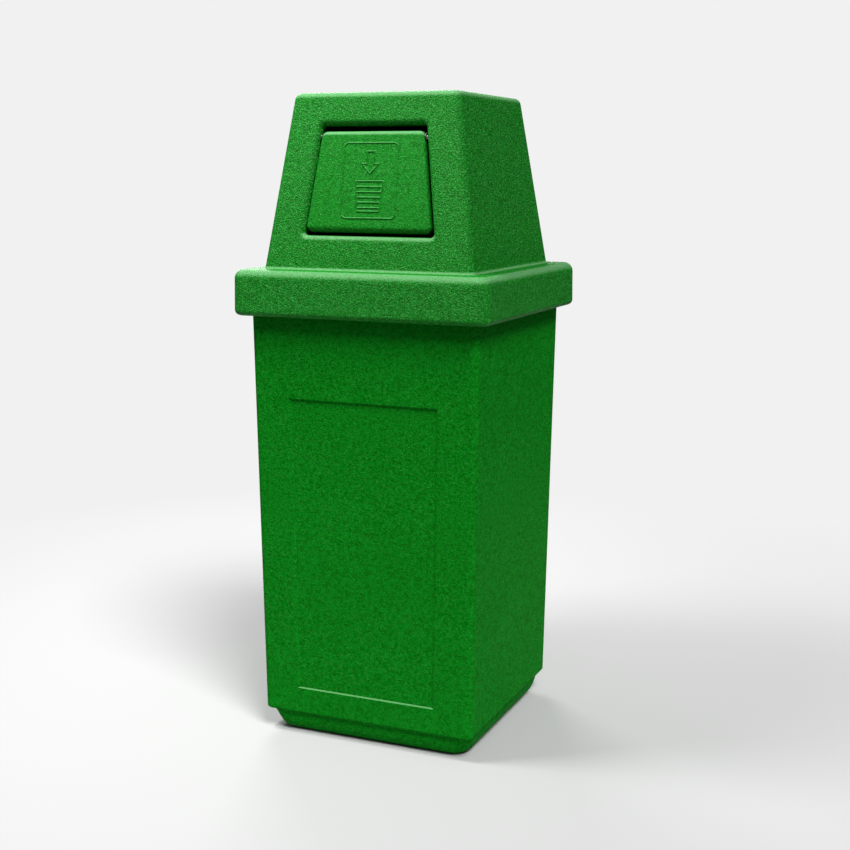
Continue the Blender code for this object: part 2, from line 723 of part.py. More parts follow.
def handle_rivet(name, place):
    """Rivet through a clip's foot and the liner's wall."""
    inner = CLIP_THICKNESS + 2 * FIT
    outer = -LINER_WALL - FIT
    rivet = [
        (RIVET_HEAD_RADIUS - CHAMFER, outer - RIVET_HEAD),
        (RIVET_HEAD_RADIUS, outer - RIVET_HEAD / 2),
        (RIVET_HEAD_RADIUS, outer),
        (RIVET_RADIUS, outer),
        (RIVET_RADIUS, inner),
        (RIVET_HEAD_RADIUS, inner),
        (RIVET_HEAD_RADIUS, inner + RIVET_HEAD / 2),
        (RIVET_HEAD_RADIUS - CHAMFER, inner + RIVET_HEAD),
    ]
    turned(name, rivet, "zinc_steel", place, steps=8)


def liner_handle(side, turn):
    """Wire bail that hangs from the clips. Its empty lies on the line of its two ends."""
    axis = wall_place(turn) @ Vector((HANDLE_OFF_WALL, 0, 0))
    pivot = add_empty(f"{side}_handle_axis", Matrix.Translation(axis))
    path = round_corners([
        (-HANDLE_END, 0, 0),
        (-HANDLE_HALF, 0, HANDLE_SHOULDER),
        (-HANDLE_HALF, -HANDLE_DROP, HANDLE_BEND),
        (HANDLE_HALF, -HANDLE_DROP, HANDLE_BEND),
        (HANDLE_HALF, 0, HANDLE_SHOULDER),
        (HANDLE_END, 0, 0),
    ])
    rings = []
    for i, point in enumerate(path):
        along = path[min(i + 1, len(path) - 1)] - path[max(i - 1, 0)]
        aside = Vector((-along.y, along.x)).normalized()
        ring = []
        for x, reach, _ in round_ring(HANDLE_WIRE, 0, 8):
            spot = point + aside * reach
            ring.append((x, spot.x, spot.y))
        rings.append(ring)
    add_object(f"liner_handle_{side}", loft_mesh("liner_handle", rings), "zinc_steel", parent=pivot)


def main():
    clear_scene()
    body_shell()
    hood_shell()
    flap_hinge()
    front_flap(add_empty("flap_axis", face_place()))
    head_y = COLLAR_HALF + GASKET + FIT
    face_y = head_y + LOCK_HEAD
    sink_y = face_y - LOCK_HEAD / 2
    lock_case(head_y, face_y, sink_y)
    lock_turning_parts(face_y, sink_y)
    liner()
    for side, turn in (("left", UPRIGHT), ("right", HALF_TURN)):
        liner_handle(side, turn)
        for end, way in clip_ends(turn):
            handle_clip(f"handle_clip_{side}_{end}", turn, way)
            for level, spot in rivet_places(way):
                handle_rivet(f"clip_rivet_{side}_{end}_{level}", wall_place(turn) @ spot)


main()
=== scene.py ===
"""Looks of a square moulded litter bin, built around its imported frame. Metres, +Z up, the flap faces -Y."""

import json
import math

import bmesh
import bpy
import numpy as np
from mathutils import Matrix, Vector


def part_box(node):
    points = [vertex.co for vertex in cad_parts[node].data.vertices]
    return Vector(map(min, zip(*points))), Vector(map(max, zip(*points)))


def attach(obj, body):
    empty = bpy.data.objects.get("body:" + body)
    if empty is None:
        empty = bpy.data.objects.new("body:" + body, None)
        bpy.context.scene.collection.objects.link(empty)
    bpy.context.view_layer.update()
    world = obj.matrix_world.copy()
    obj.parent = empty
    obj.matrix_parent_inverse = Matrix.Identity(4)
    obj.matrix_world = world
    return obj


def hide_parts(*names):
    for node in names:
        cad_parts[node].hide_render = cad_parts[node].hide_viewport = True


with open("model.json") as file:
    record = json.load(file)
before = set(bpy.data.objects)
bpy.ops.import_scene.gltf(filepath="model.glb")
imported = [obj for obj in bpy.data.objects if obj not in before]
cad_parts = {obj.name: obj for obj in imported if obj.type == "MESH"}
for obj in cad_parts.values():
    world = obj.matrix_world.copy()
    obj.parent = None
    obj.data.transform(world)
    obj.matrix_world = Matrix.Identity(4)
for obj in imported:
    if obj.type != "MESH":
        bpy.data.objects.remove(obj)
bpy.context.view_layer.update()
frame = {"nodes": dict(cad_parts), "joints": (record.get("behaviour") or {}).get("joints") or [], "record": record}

# Places read from the frame
hood_low, hood_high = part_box("hood_shell")
body_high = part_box("body_shell")[1]
liner_low, liner_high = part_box("liner")
lock_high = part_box("lock_barrel")[1]
joints = {joint["name"]: joint for joint in frame["joints"]}
bodies = {}
for body_name, body_nodes in frame["record"]["behaviour"]["bodies"].items():
    bodies.update(dict.fromkeys(body_nodes, body_name))

HEIGHT = hood_high.z
SKIRT_Z = hood_low.z
COLLAR_HALF = hood_high.x
RIM_HALF = body_high.x
RIM_TOP_Z = body_high.z
PIVOT = Vector(joints["flap_swing"]["pos_m"])
LOCK_Z = joints["lock_turn"]["pos_m"][2]

# Walls and levels of the mouldings
WALL = 0.006
FLOOR_Z = 0.010
UNDERSIDE_Z = 0.003
STEP_Z = 0.039
LIP_TOP_Z = 0.750
LEDGE_Z = 0.812
LEDGE_UNDER_Z = LEDGE_Z - WALL
RIM_FOOT_Z = RIM_TOP_Z - 0.018
CEILING_Z = HEIGHT - WALL
LIP_RAMP = 0.0045

# Half widths of the square sections
COLLAR_TOP_HALF = COLLAR_HALF - 0.0011
LIP_HALF = COLLAR_HALF - 0.0105
BODY_FOOT_HALF = 0.1945
BODY_TOP_HALF = 0.2048
PLINTH_HALF = 0.1865
PLINTH_FLARE = 0.0012
PLINTH_LINING_HALF = 0.1785
FOOT_RING_HALF = 0.1385
HOOD_FOOT_HALF = 0.1887
HOOD_TOP_HALF = 0.1478

# Radii of the upright corners in plan, then of the level edges
BODY_CORNER = 0.0125
COLLAR_CORNER = 0.0235
HOOD_CORNER = 0.0127
PLINTH_CORNER = 0.038
PLINTH_TOP_CORNER = 0.013
PLINTH_EDGE = 0.029
PLINTH_LINING_CORNER = 0.030
PLINTH_LINING_EDGE = 0.018
BODY_FOOT_EDGE = 0.005
RIM_EDGE = 0.003
COLLAR_TOP_EDGE = 0.016
COLLAR_FOOT_EDGE = 0.0095
COLLAR_LINING_EDGE = 0.007
LIP_EDGE = 0.0008
HOOD_FOOT_EDGE = 0.006
ROOF_EDGE = 0.012
SHARPEST_CORNER = 0.0005

# The plinth's corners keep one radius up to this share of its height
PLINTH_EVEN_SHARE = 0.36

# Level faces: under the body's foot, and of the collar's ledge under the hood
STEP_WIDTH = 0.0065
LEDGE_OVERRUN = 0.001

# Lock notch in the rim, with its size across and up, and drain holes in the floor
NOTCH = (0.028, 0.030)
NOTCH_OFF_WALL = 0.0005
DRAIN_OFF_MIDDLE = 0.110
DRAIN_RADIUS = 0.005

# Recessed panels in the front and back of the body
PANEL_FOOT_Z = 0.0855
PANEL_TOP_Z = 0.5975
PANEL_FOOT_HALF = 0.1290
PANEL_TOP_HALF = 0.1370
PANEL_DEPTH = 0.003
PANEL_MARGIN = 0.002
PANEL_ROWS = 16
ROWS_ABOVE_PANEL = 6
PANEL_SIDE_SLOPE = 0.0060
PANEL_TOP_SLOPE = 0.0026
PANEL_FOOT_SLOPE = 0.0016

# Push flap and the mouth around it, from the hinge rod: up the hood's face, and square to it
FACE_TILT = math.atan2(HOOD_FOOT_HALF - HOOD_TOP_HALF, HEIGHT - LEDGE_Z)
ROD_BEHIND_FACE = 0.010
FLAP_RISE = 0.0097
FLAP_DROP = 0.1547
FLAP_BACK_DROP = 0.1470
FLAP_TOP_HALF = 0.0900
FLAP_FOOT_HALF = 0.1120
FLAP_TOP_BACK = 0.012
FLAP_FOOT_BACK = 0.050
FLAP_CORNER = 0.010
FLAP_TOP_EDGE = 0.008
FLAP_FOOT_EDGE = 0.010
FLAP_SIDE_EDGE = 0.0035
FLAP_BACK_EDGE = 0.005
MOUTH_SIDE_GAP = 0.004
MOUTH_TOP_GAP = 0.0096
MOUTH_FOOT_GAP = 0.0056
MOUTH_ROUND = 0.010
MOUTH_CORNER = 0.006
RETURN_DEPTH = 0.030
RETURN_CHAMFER = 0.002
OVERCUT = 0.004

# Hinge rod, its bushes and its caps: distances from the middle of the flap
ROD_RADIUS = 0.004
ROD_END_X = 0.1085
BUSH_RADIUS = 0.0062
BUSH_FLANGE_RADIUS = 0.0078
BUSH_X = (0.082, 0.0926, 0.0938)
CAP_RADIUS = 0.0058
CAP_FLANGE_RADIUS = 0.0065
CAP_X = (0.1028, 0.1043, 0.1115)
ROD_BORE_END_X = 0.1035
CAP_POCKET_RADIUS = 0.0068
CAP_POCKET_X = (0.1026, 0.1118)
GAP = 0.0005
FIT = 0.0003

# Cam lock: distances along Y
LOCK_RADIUS = 0.009
LOCK_HEAD_RADIUS = 0.012
LOCK_END_Y = joints["lock_turn"]["pos_m"][1]
LOCK_FACE_Y = lock_high.y
LOCK_HEAD_Y = LOCK_FACE_Y - 0.0030
LOCK_SINK_Y = LOCK_FACE_Y - 0.0015
PLUG_RADIUS = 0.0065
PLUG_HEAD_RADIUS = 0.0082
PLUG_TAIL_RADIUS = 0.004
KEY_SLOT = (0.0012, 0.007, 0.006)
CAM_LENGTH = 0.034
CAM_HALF_WIDTH = 0.008
CAM_THICKNESS = 0.003
CAM_EDGE = 0.0006
NUT_APOTHEM = 0.012
NUT_THICKNESS = 0.0035
NUT_CHAMFER = 0.0007
GASKET_SINK = 0.0004
LOCK_STEPS = 72

# Steel liner, its handles, their clips and rivets
LINER_WALL = 0.0012
LINER_FLOOR_Z = liner_low.z
LINER_TOP_Z = liner_high.z
LINER_BEAD_HALF = liner_high.x
LINER_BEAD_Z = LINER_TOP_Z - 0.008
LINER_FOOT_HALF = 0.166
LINER_TOP_HALF = 0.186
LINER_CORNER = 0.020
LINER_TILT = math.atan2(LINER_TOP_HALF - LINER_FOOT_HALF, LINER_TOP_Z - LINER_FLOOR_Z)
HANDLE_Z = 0.746
HANDLE_OFF_WALL = 0.008
HANDLE_WIRE = 0.003
HANDLE_HALF = 0.048
HANDLE_DROP = 0.050
HANDLE_END = 0.062
HANDLE_END_RADIUS = 0.75 * HANDLE_WIRE
HANDLE_CHAMFER = 0.0012
CLIP_EAR_Y = 0.053
CLIP_THICKNESS = 0.002
CLIP_LENGTH = 0.022
CLIP_HALF_HEIGHT = 0.010
CLIP_REACH = 0.013
RIVET_Y = CLIP_EAR_Y + 0.015
RIVET_SPACING = 0.010
RIVET_RADIUS = 0.0016
RIVET_HEAD_RADIUS = 0.0032
RIVET_HEAD = 0.0012
RIVET_DOME = 0.0011

# Raised lines on the flap, on a patch of fine mesh: (x, z) from the hinge rod
PATCH_HALF = 0.056
PATCH_TOP = -0.003
PATCH_FOOT = -0.139
PATCH_STEP = 0.0008
LINE_HEIGHT = 0.0014
LINE_HALF = 0.0017
EMBLEM_HALF = 0.0485
EMBLEM_TOP = -0.0100
EMBLEM_FOOT = -0.1320
EMBLEM_CORNER = 0.009
ARROW = [
    (-0.0065, -0.024), (0.0065, -0.024), (0.0065, -0.044), (0.0145, -0.044),
    (0, -0.060), (-0.0145, -0.044), (-0.0065, -0.044),
]
BASKET = [(-0.0245, -0.072), (0.0245, -0.072), (0.0195, -0.121), (-0.0195, -0.121)]
BASKET_BARS = (-0.081, -0.0895, -0.098, -0.1065, -0.115)
BAR_HALF = 0.0190
BAR_SLOPE = 0.10

# Plastic: pairs of darker and lighter greens, the pale green painted on upward-facing edges as a highlight,
# grain's scale along X, Y and Z, and the tint of the sheen
GREEN = (0.001, 0.135, 0.004)
GREEN_CLOUDS = ((0.0006, 0.130, 0.0025), (0.0010, 0.142, 0.004))
GREEN_MOTTLES = ((0.0004, 0.080, 0.0016), (0.0030, 0.23, 0.012))
GREEN_FLECKS = ((0.0002, 0.062, 0.0008), (0.060, 0.36, 0.070))
# Pale green painted on upward-facing edges as a highlight
GREEN_PAINTED_HIGHLIGHT = (0.14, 0.34, 0.15)
GREEN_SHEEN = (0.85, 1.0, 0.85, 1)
GRAIN_STRETCH = (1, 0.5, 1)

# Stage. Each area light has a place, a target, a size and a power
FLOOR_RADIUS = 1.9
FLOOR_FADE = (0.55 * FLOOR_RADIUS, 0.98 * FLOOR_RADIUS)
FLOOR_TONE = (0.44, 0.44, 0.44)
BACKDROP = (0.88, 0.88, 0.88, 1)
WORLD_RISE = (0.10, 0.90)
WORLD_STRENGTH = (0.04, 0.42)
SUN_FROM = (1.45, -1.35, 2.4)
SUN_STRENGTH = 3.85
SUN_DEGREES = 22
AREA_LIGHTS = {
    "key": ((-0.62, -0.55, 2.15), (0, 0, 0.95), 0.5, 35),
    "back": ((-1.6, 2.4, 2.2), (0, 0, 0.6), 1.4, 70),
}

# Camera, with its turns in degrees: yaw, pitch and roll
CAMERA_PLACE = (0.99431, -2.26719, 0.96800)
CAMERA_TURNS = (("Z", 23.092), ("X", 90 - 10.057), ("Z", 0.206))
CAMERA_LENS = 59.813
CAMERA_SENSOR = 36


# Meshes


def add_object(name, data, place=Matrix.Identity(4)):
    obj = bpy.data.objects.new(name, data)
    bpy.context.scene.collection.objects.link(obj)
    obj.matrix_world = place
    return obj


def set_material(obj, material):
    obj.data.materials.clear()
    obj.data.materials.append(material)


def stands_for(piece, node, material):
    """The piece takes the place of a CAD node: its body and its finish."""
    set_material(piece, material)
    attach(piece, bodies[node])
    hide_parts(node)


def mesh_from(name, bm, sharp=32):
    """The finished mesh, smooth except across edges sharper than the given angle."""
    bmesh.ops.recalc_face_normals(bm, faces=bm.faces)
    mesh = bpy.data.meshes.new(name)
    bm.to_mesh(mesh)
    bm.free()
    mesh.shade_smooth()
    mesh.set_sharp_from_angle(angle=math.radians(sharp))
    return mesh


def skin(bm, loops, closed=False):
    """Quads between neighbouring loops of vertices."""
    pairs = list(zip(loops, loops[1:]))
    if closed:
        pairs.append((loops[-1], loops[0]))
    for lower, upper in pairs:
        for i in range(len(lower)):
            j = (i + 1) % len(lower)
            bm.faces.new((lower[i], lower[j], upper[j], upper[i]))


def loft(name, rings, closed=False, place=Matrix.Identity(4), sharp=32):
    """A skin over rings of equal length: capped at both ends, or joined end to end when closed."""
    bm = bmesh.new()
    loops = [[bm.verts.new(point) for point in ring] for ring in rings]
    if not closed:
        bm.faces.new(loops[0])
        bm.faces.new(loops[-1])
    skin(bm, loops, closed)
    return add_object(name, mesh_from(name, bm, sharp), place)


def even_normals(obj):
    """Keeps wide flat faces flat where they run into rounded edges."""
    modifier = obj.modifiers.new("even normals", "WEIGHTED_NORMAL")
    modifier.keep_sharp = True
    modifier.weight = 60


def combine(target, other, operation):
    """Boolean of the other object, applied at once. The other object is used up."""
    modifier = target.modifiers.new(operation.lower(), "BOOLEAN")
    modifier.operation = operation
    modifier.solver = "EXACT"
    modifier.object = other
    bpy.context.view_layer.update()
    graph = bpy.context.evaluated_depsgraph_get()
    mesh = bpy.data.meshes.new_from_object(target.evaluated_get(graph))
    target.modifiers.remove(modifier)
    target.data = mesh
    bpy.data.objects.remove(other)


# Places


def across(place):
    """Turns a frame so that its Z runs along its X."""
    return place @ Matrix.Rotation(math.radians(90), 4, "Y")


def face_place():
    """Frame on the hinge rod: Z runs up the hood's front face, and Y goes square into the bin."""
    return Matrix.Translation(PIVOT) @ Matrix.Rotation(-FACE_TILT, 4, "X")


def lock_place():
    """Frame of the lock: Z points out of the bin's back, and Y points down."""
    return Matrix.Translation((0, 0, LOCK_Z)) @ Matrix.Rotation(math.radians(-90), 4, "X")


# Outlines, profiles and rings


def round_corners(points, closed=False, steps=8):
    """Turns (x, y, radius) corners into a polyline, with an arc at each corner whose radius isn't 0."""
    path = []
    count = len(points)
    for i, (x, y, radius) in enumerate(points):
        corner = Vector((x, y))
        if radius == 0 or (not closed and i in (0, count - 1)):
            path.append(corner)
            continue
        back = (Vector(points[i - 1][:2]) - corner).normalized()
        ahead = (Vector(points[(i + 1) % count][:2]) - corner).normalized()
        half_angle = back.angle(ahead) / 2
        centre = corner + (back + ahead).normalized() * (radius / math.sin(half_angle))
        start = corner + back * (radius / math.tan(half_angle)) - centre
        end = corner + ahead * (radius / math.tan(half_angle)) - centre
        turn = math.atan2(start.x * end.y - start.y * end.x, start.dot(end))
        for step in range(steps + 1):
            angle = turn * step / steps
            spoke = (
                start.x * math.cos(angle) - start.y * math.sin(angle),
                start.x * math.sin(angle) + start.y * math.cos(angle),
            )
            path.append(centre + Vector(spoke))
    return path


def square_ring(half, z, centre, columns=(), steps=10):
    """A rounded square at height z. columns are distances from the middle of each side, above 0."""
    radius = max(half - centre, SHARPEST_CORNER)
    reach = half - radius
    along = [-column for column in reversed(columns)] + list(columns)
    ring = []
    for corner in range(4):
        turn = Matrix.Rotation(math.radians(90 * corner), 3, "Z")
        for step in range(steps + 1):
            angle = math.radians(90 * step / steps)
            x = reach + radius * math.cos(angle)
            y = reach + radius * math.sin(angle)
            ring.append(turn @ Vector((x, y, z)))
        ring += [turn @ Vector((-column, half, z)) for column in along]
    return ring


def square_rings(path, centre, columns=()):
    """Rings along a (half width, z) path. centre and columns may be functions of z."""
    rings = []
    for point in path:
        across = columns(point.y) if callable(columns) else columns
        rings.append(square_ring(point.x, point.y, centre(point.y), across))
    return rings


def round_ring(radius, z, steps):
    angles = [math.tau * i / steps for i in range(steps)]
    return [(radius * math.cos(angle), radius * math.sin(angle), z) for angle in angles]


def spun(name, profile, place, closed=False, steps=48):
    """A part spun about its local Z from (radius, z, rounding) points. It may start and end on the axis."""
    path = round_corners(profile, closed, steps=5)
    bm = bmesh.new()
    loops = []
    for point in path:
        if point.x == 0:
            loops.append([bm.verts.new((0, 0, point.y))] * steps)
        else:
            loops.append([bm.verts.new(spot) for spot in round_ring(point.x, point.y, steps)])
    if closed:
        loops.append(loops[0])
    for lower, upper in zip(loops, loops[1:]):
        for i in range(steps):
            j = (i + 1) % steps
            bm.faces.new(dict.fromkeys((lower[i], lower[j], upper[j], upper[i])))
    if not closed:
        for point, loop in ((path[0], loops[0]), (path[-1], loops[-1])):
            if point.x > 0:
                bm.faces.new(loop)
    return add_object(name, mesh_from(name, bm), place)


def bore(target, radius, start, end, place):
    """Cuts a round hole along the place's Z, from start to end."""
    drill = spun("drill", [(radius, start, 0), (radius, end, 0)], place)
    combine(target, drill, "DIFFERENCE")


def cut_box(target, size, place):
    """Cuts a box of the given size, centred on the place."""
    block = bmesh.new()
    bmesh.ops.create_cube(block, size=1)
    bmesh.ops.scale(block, verts=block.verts, vec=size)
    combine(target, add_object("block", mesh_from("block", block), place), "DIFFERENCE")


def body_half(z):
    return BODY_FOOT_HALF + (BODY_TOP_HALF - BODY_FOOT_HALF) * (z - STEP_Z) / (SKIRT_Z - STEP_Z)


def hood_half(z):
    return HOOD_FOOT_HALF + (HOOD_TOP_HALF - HOOD_FOOT_HALF) * (z - LEDGE_Z) / (HEIGHT - LEDGE_Z)


def between(low, high, parts):
    """The values that split a span into equal parts."""
    return [low + (high - low) * i / parts for i in range(1, parts)]


def smooth_step(value):
    value = min(max(value, 0.0), 1.0)
    return value * value * (3 - 2 * value)


# Body


def panel_half(z):
    share = (z - PANEL_FOOT_Z) / (PANEL_TOP_Z - PANEL_FOOT_Z)
    return PANEL_FOOT_HALF + (PANEL_TOP_HALF - PANEL_FOOT_HALF) * share


def panel_depth(x, z):
    """Depth of the recessed panel at a place on the body's face."""
    side = smooth_step((panel_half(z) - abs(x)) / PANEL_SIDE_SLOPE)
    foot = smooth_step((z - PANEL_FOOT_Z) / PANEL_FOOT_SLOPE)
    top = smooth_step((PANEL_TOP_Z - z) / PANEL_TOP_SLOPE)
    return PANEL_DEPTH * side * foot * top


def edge_offsets(slope):
    """Distances from the panel's border that follow its sloping edge."""
    return [PANEL_MARGIN] + [-slope * step / 5 for step in range(6)] + [-slope - PANEL_MARGIN]


def panel_columns(z):
    inside = [panel_half(z) * (share + 0.5) / 8 for share in range(7)]
    return sorted(inside + [panel_half(z) + offset for offset in edge_offsets(PANEL_SIDE_SLOPE)])


def plinth_centre(z):
    """Where the arcs of the plinth's corners are centred: the corners sharpen towards the body's foot."""
    foot = PLINTH_HALF - PLINTH_CORNER
    top = PLINTH_HALF + PLINTH_FLARE - PLINTH_TOP_CORNER
    lift = max(z / STEP_Z - PLINTH_EVEN_SHARE, 0) / (1 - PLINTH_EVEN_SHARE)
    return foot + (top - foot) * lift**2


def body_shell():
    """Tub with a plinth, a rim and a recessed panel in its front and back."""
    plinth = round_corners([
        (FOOT_RING_HALF - UNDERSIDE_Z, UNDERSIDE_Z, 0),
        (FOOT_RING_HALF, 0, 0),
        (PLINTH_HALF, 0, PLINTH_EDGE),
        (PLINTH_HALF, 0.8 * STEP_Z, 0),
        (PLINTH_HALF + 0.2 * PLINTH_FLARE, 0.9 * STEP_Z, 0),
        (PLINTH_HALF + PLINTH_FLARE, STEP_Z, 0),
    ])
    foot = round_corners([
        (BODY_FOOT_HALF - STEP_WIDTH, STEP_Z, 0),
        (BODY_FOOT_HALF, STEP_Z, BODY_FOOT_EDGE),
        (body_half(2 * STEP_Z), 2 * STEP_Z, 0),
    ])
    levels = [PANEL_FOOT_Z - offset for offset in edge_offsets(PANEL_FOOT_SLOPE)]
    levels += [PANEL_TOP_Z + offset for offset in edge_offsets(PANEL_TOP_SLOPE)]
    levels += between(PANEL_FOOT_Z, PANEL_TOP_Z, PANEL_ROWS)
    levels += between(PANEL_TOP_Z, RIM_FOOT_Z, ROWS_ABOVE_PANEL)
    wall = [Vector((body_half(z), z)) for z in sorted(levels)]
    rim = round_corners([
        (body_half(RIM_FOOT_Z), RIM_FOOT_Z, 0),
        (RIM_HALF, RIM_FOOT_Z, RIM_EDGE),
        (RIM_HALF, RIM_TOP_Z, RIM_EDGE),
        (body_half(RIM_TOP_Z) - WALL, RIM_TOP_Z, 0.002),
        (body_half(STEP_Z + WALL) - WALL, STEP_Z + WALL, 0),
    ], steps=4)
    floor = round_corners([
        (PLINTH_LINING_HALF, STEP_Z, 0),
        (PLINTH_LINING_HALF, FLOOR_Z, PLINTH_LINING_EDGE),
        (PLINTH_LINING_HALF - PLINTH_LINING_EDGE - WALL, FLOOR_Z, 0),
    ])

    def body_centre(z):
        return body_half(z) - BODY_CORNER

    def floor_centre(z):
        return PLINTH_LINING_HALF - PLINTH_LINING_CORNER

    rings = square_rings(plinth, plinth_centre, panel_columns)
    rings += square_rings(foot[:-1], body_centre, panel_columns)
    for ring in square_rings(wall, body_centre, panel_columns):
        for point in ring:
            if abs(point.y) > body_half(point.z) - 0.0001:
                point.y -= math.copysign(panel_depth(point.x, point.z), point.y)
        rings.append(ring)
    rings += square_rings(rim, body_centre, panel_columns)
    rings += square_rings(floor, floor_centre, panel_columns)
    shell = loft("tub_moulding", rings)

    wall_y = body_half(RIM_TOP_Z)
    depth = COLLAR_HALF - wall_y
    place = Matrix.Translation((0, wall_y + NOTCH_OFF_WALL + depth / 2, (RIM_FOOT_Z + RIM_TOP_Z) / 2))
    cut_box(shell, (NOTCH[0], depth, NOTCH[1]), place)
    for x in (-DRAIN_OFF_MIDDLE, DRAIN_OFF_MIDDLE):
        for y in (-DRAIN_OFF_MIDDLE, DRAIN_OFF_MIDDLE):
            bore(shell, DRAIN_RADIUS, -FLOOR_Z, 2 * FLOOR_Z, Matrix.Translation((x, y, 0)))
    even_normals(shell)
    return shell


# Hood


def flap_half(z):
    share = (FLAP_RISE - z) / (FLAP_RISE + FLAP_DROP)
    return FLAP_TOP_HALF + (FLAP_FOOT_HALF - FLAP_TOP_HALF) * share


def flap_outline(side, high, low, corner):
    """(x, z) outline between two heights, wider than the flap by side."""
    corners = [
        (-flap_half(low) - side, low, corner),
        (flap_half(low) + side, low, corner),
        (flap_half(high) + side, high, corner),
        (-flap_half(high) - side, high, corner),
    ]
    return round_corners(corners, closed=True)


def mouth_ring(grow, depth):
    """The mouth's outline, grown all round, at a depth behind the hood's face."""
    high = FLAP_RISE + MOUTH_TOP_GAP + grow
    low = -FLAP_DROP - MOUTH_FOOT_GAP - grow
    outline = flap_outline(MOUTH_SIDE_GAP + grow, high, low, MOUTH_CORNER + grow)
    return [(point.x, depth - ROD_BEHIND_FACE, point.y) for point in outline]


def hood_shell():
    """Collar and tapering hood in one moulding, with rounded returns around the flap's mouth."""
    ceiling_half = hood_half(CEILING_Z) - WALL
    lining = round_corners([
        (ceiling_half - ROOF_EDGE + WALL, CEILING_Z, 0),
        (ceiling_half, CEILING_Z, ROOF_EDGE - WALL),
        (hood_half(LEDGE_UNDER_Z) - WALL, LEDGE_UNDER_Z, 0),
    ])
    collar = round_corners([
        (COLLAR_TOP_HALF - COLLAR_TOP_EDGE, LEDGE_UNDER_Z, 0),
        (COLLAR_TOP_HALF - WALL, LEDGE_UNDER_Z, COLLAR_LINING_EDGE),
        (COLLAR_HALF - WALL, LIP_TOP_Z, 0),
        (LIP_HALF, LIP_TOP_Z - LIP_RAMP, 0),
        (LIP_HALF, SKIRT_Z, LIP_EDGE),
        (COLLAR_HALF, SKIRT_Z, COLLAR_FOOT_EDGE),
        (COLLAR_TOP_HALF, LEDGE_Z, COLLAR_TOP_EDGE),
        (COLLAR_TOP_HALF - COLLAR_TOP_EDGE - LEDGE_OVERRUN, LEDGE_Z, 0),
    ])
    hood = round_corners([
        (HOOD_FOOT_HALF + 2 * HOOD_FOOT_EDGE, LEDGE_Z, 0),
        (HOOD_FOOT_HALF, LEDGE_Z, HOOD_FOOT_EDGE),
        (HOOD_TOP_HALF, HEIGHT, ROOF_EDGE),
        (HOOD_TOP_HALF - ROOF_EDGE, HEIGHT, 0),
    ])
    rings = square_rings(lining, lambda z: hood_half(z) - HOOD_CORNER)
    rings += square_rings(collar, lambda z: COLLAR_HALF - COLLAR_CORNER)
    rings += square_rings(hood, lambda z: hood_half(z) - HOOD_CORNER)
    shell = loft("hood_moulding", rings)

    face = face_place()
    surround = [
        mouth_ring(WALL, WALL / 2),
        mouth_ring(WALL, RETURN_DEPTH - RETURN_CHAMFER),
        mouth_ring(WALL - RETURN_CHAMFER, RETURN_DEPTH),
    ]
    combine(shell, loft("surround", surround, place=face), "UNION")
    rings = [mouth_ring(MOUTH_ROUND, -OVERCUT)]
    for step in range(11):
        turn = math.radians(90 * step / 10)
        rings.append(mouth_ring(MOUTH_ROUND * (1 - math.sin(turn)), MOUTH_ROUND * (1 - math.cos(turn))))
    rings.append(mouth_ring(0, RETURN_DEPTH + OVERCUT))
    combine(shell, loft("mouth", rings, place=face), "DIFFERENCE")

    bore(shell, ROD_RADIUS + FIT, -ROD_BORE_END_X, ROD_BORE_END_X, across(face))
    for turn in (0, math.pi):
        bore(shell, CAP_POCKET_RADIUS, *CAP_POCKET_X, across(face @ Matrix.Rotation(turn, 4, "Z")))
    bore(shell, LOCK_RADIUS + FIT, COLLAR_HALF - 3 * WALL, COLLAR_HALF + WALL, lock_place())
    even_normals(shell)
    return shell


# Flap


def outward(outline):
    """Outward unit normal at each point of a closed (x, z) outline that runs anticlockwise."""
    normals = []
    for i in range(len(outline)):
        along = outline[(i + 1) % len(outline)] - outline[i - 1]
        normals.append(Vector((along.y, -along.x)).normalized())
    return normals


def flap_ring(angle, front):
    """One ring of the flap's rounded edge. angle 0 lies on the face, and 90 on the side."""
    drop = FLAP_DROP if front else FLAP_BACK_DROP
    outline = flap_outline(0, FLAP_RISE, -drop, FLAP_CORNER)
    turn = math.radians(angle)
    ring = []
    for point, normal in zip(outline, outward(outline)):
        edge = FLAP_BACK_EDGE
        if front:
            level_edge = FLAP_TOP_EDGE if normal.y > 0 else FLAP_FOOT_EDGE
            edge = FLAP_SIDE_EDGE * normal.x**2 + level_edge * normal.y**2
        spot = point - normal * (edge * (1 - math.sin(turn)))
        depth = edge * (1 - math.cos(turn))
        if front:
            y = depth - ROD_BEHIND_FACE
        else:
            share = (FLAP_RISE - spot.y) / (FLAP_RISE + drop)
            y = FLAP_TOP_BACK + (FLAP_FOOT_BACK - FLAP_TOP_BACK) * share - depth
        ring.append((spot.x, y, spot.y))
    return ring


def segment_distance(x, z, start, end):
    """Distance of each place from a straight line between two points."""
    span = np.array(end) - np.array(start)
    share = ((x - start[0]) * span[0] + (z - start[1]) * span[1]) / (span @ span)
    share = np.clip(share, 0, 1)
    return np.hypot(x - start[0] - share * span[0], z - start[1] - share * span[1])


def polyline_distance(x, z, points):
    pairs = zip(points, points[1:])
    return np.min([segment_distance(x, z, start, end) for start, end in pairs], axis=0)


def rounded_box_distance(x, z, half_x, low, high, corner):
    """Distance from the outline of a rounded rectangle."""
    over_x = np.abs(x) - half_x + corner
    over_z = np.abs(z - (low + high) / 2) - (high - low) / 2 + corner
    outside = np.hypot(np.maximum(over_x, 0), np.maximum(over_z, 0))
    return np.abs(outside + np.minimum(np.maximum(over_x, over_z), 0) - corner)


